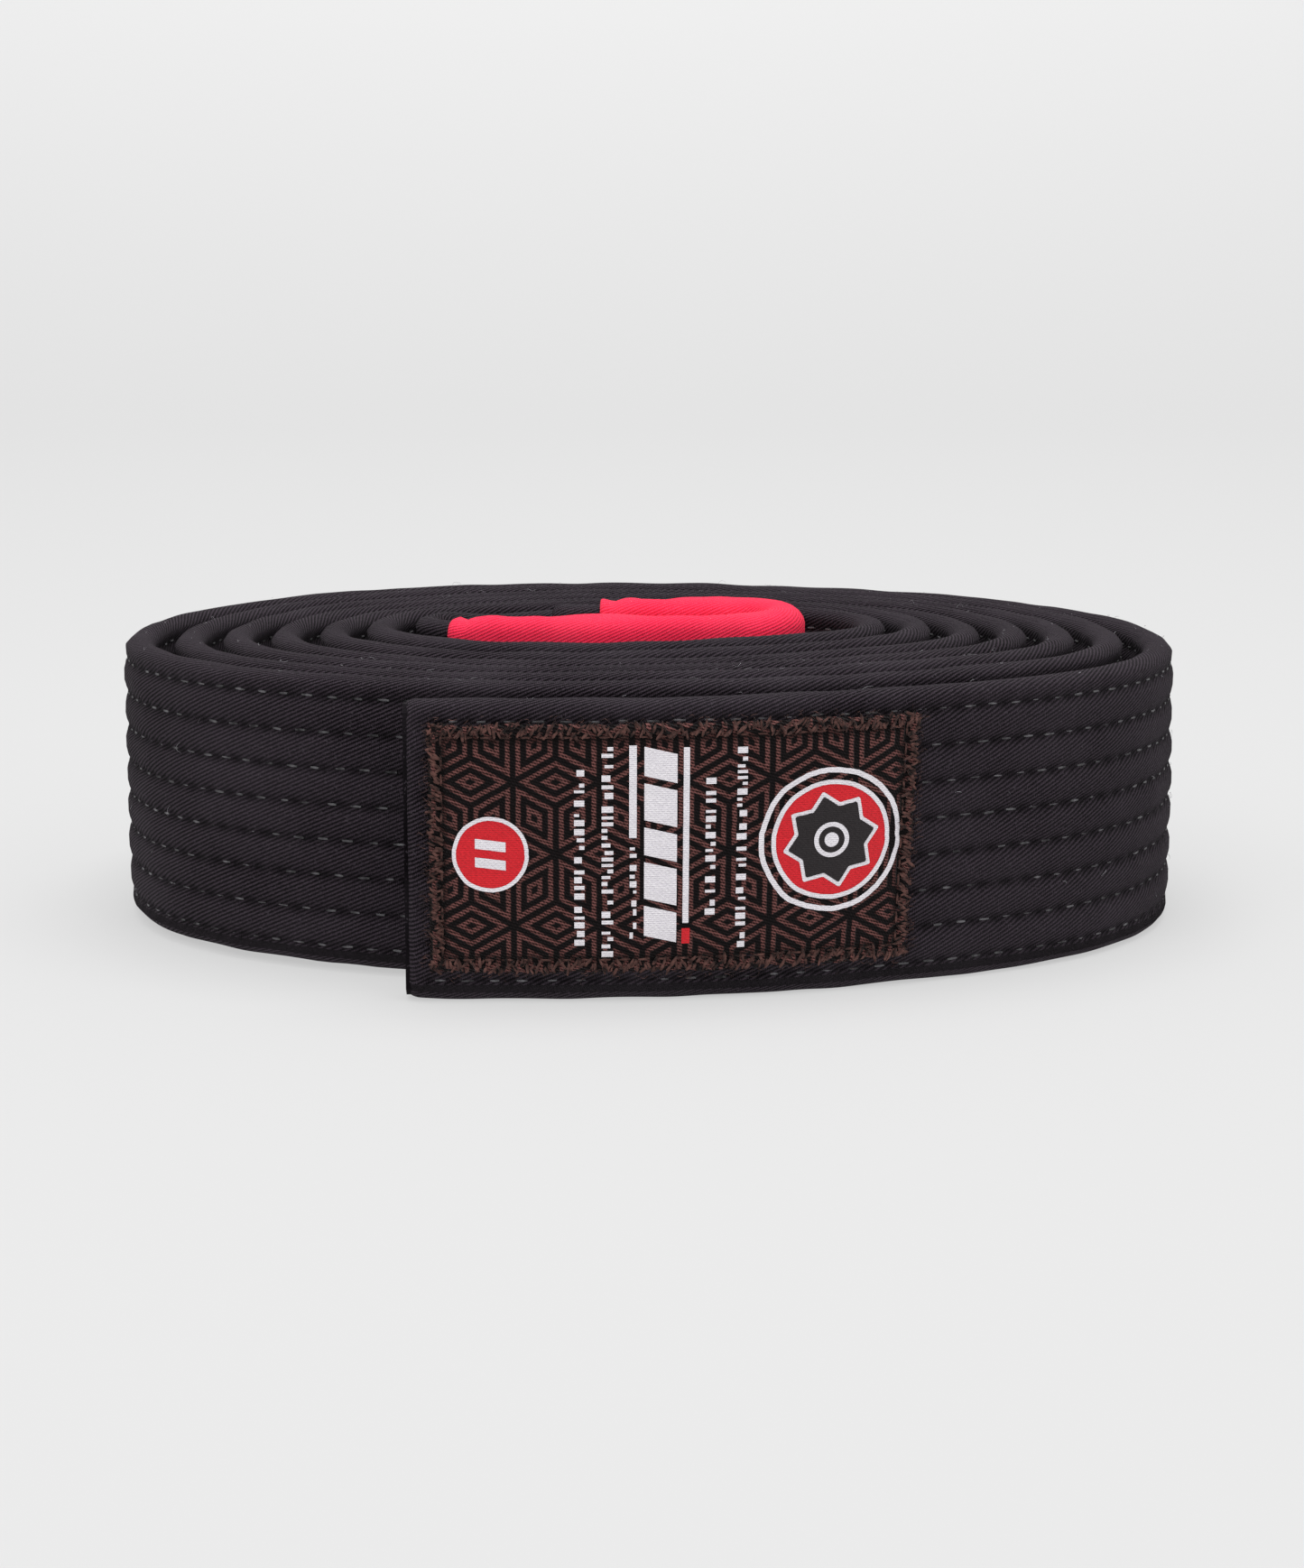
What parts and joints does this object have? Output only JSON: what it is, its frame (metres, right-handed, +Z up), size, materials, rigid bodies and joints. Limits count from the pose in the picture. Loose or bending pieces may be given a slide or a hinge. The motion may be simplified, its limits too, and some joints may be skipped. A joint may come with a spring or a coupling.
{
  "type": "martial arts belt",
  "caption": "Black quilted rank belt coiled on edge in a flat oval spiral, with a woven label on its outer end and a red sleeve at its inner end.",
  "frame": {"origin": "centre of the coil's outline in plan, on the surface it stands on", "axes": "+X to the right along the long way of the oval, -Y towards the labelled outer end, +Z up, across the belt's width"},
  "size_m": [0.1786, 0.1528, 0.0484],
  "materials": {
    "black_twill": "matt cotton twill",
    "core_cotton": "unbleached cotton",
    "quilting_thread": "matt sewing thread",
    "woven_label": "fine damask weave",
    "label_thread": "sewing thread",
    "red_twill": "matt cotton twill",
    "sleeve_thread": "sewing thread"
  },
  "bodies": {
    "root": {"cover": "black_twill", "core_ply_1": "core_cotton", "core_ply_2": "core_cotton", "core_ply_3": "core_cotton", "core_ply_4": "core_cotton", "quilt_row_1": "quilting_thread", "quilt_row_2": "quilting_thread", "quilt_row_3": "quilting_thread", "quilt_row_4": "quilting_thread", "quilt_row_5": "quilting_thread", "quilt_row_6": "quilting_thread", "quilt_row_7": "quilting_thread", "quilt_row_8": "quilting_thread", "outer_end_tuck": "black_twill", "inner_end_tuck": "black_twill", "outer_end_stitching": "quilting_thread", "inner_end_stitching": "quilting_thread", "label": "woven_label", "label_stitching": "label_thread", "rank_sleeve": "red_twill", "sleeve_stitching_start": "sleeve_thread", "sleeve_stitching_end": "sleeve_thread"}
  },
  "joints": []
}
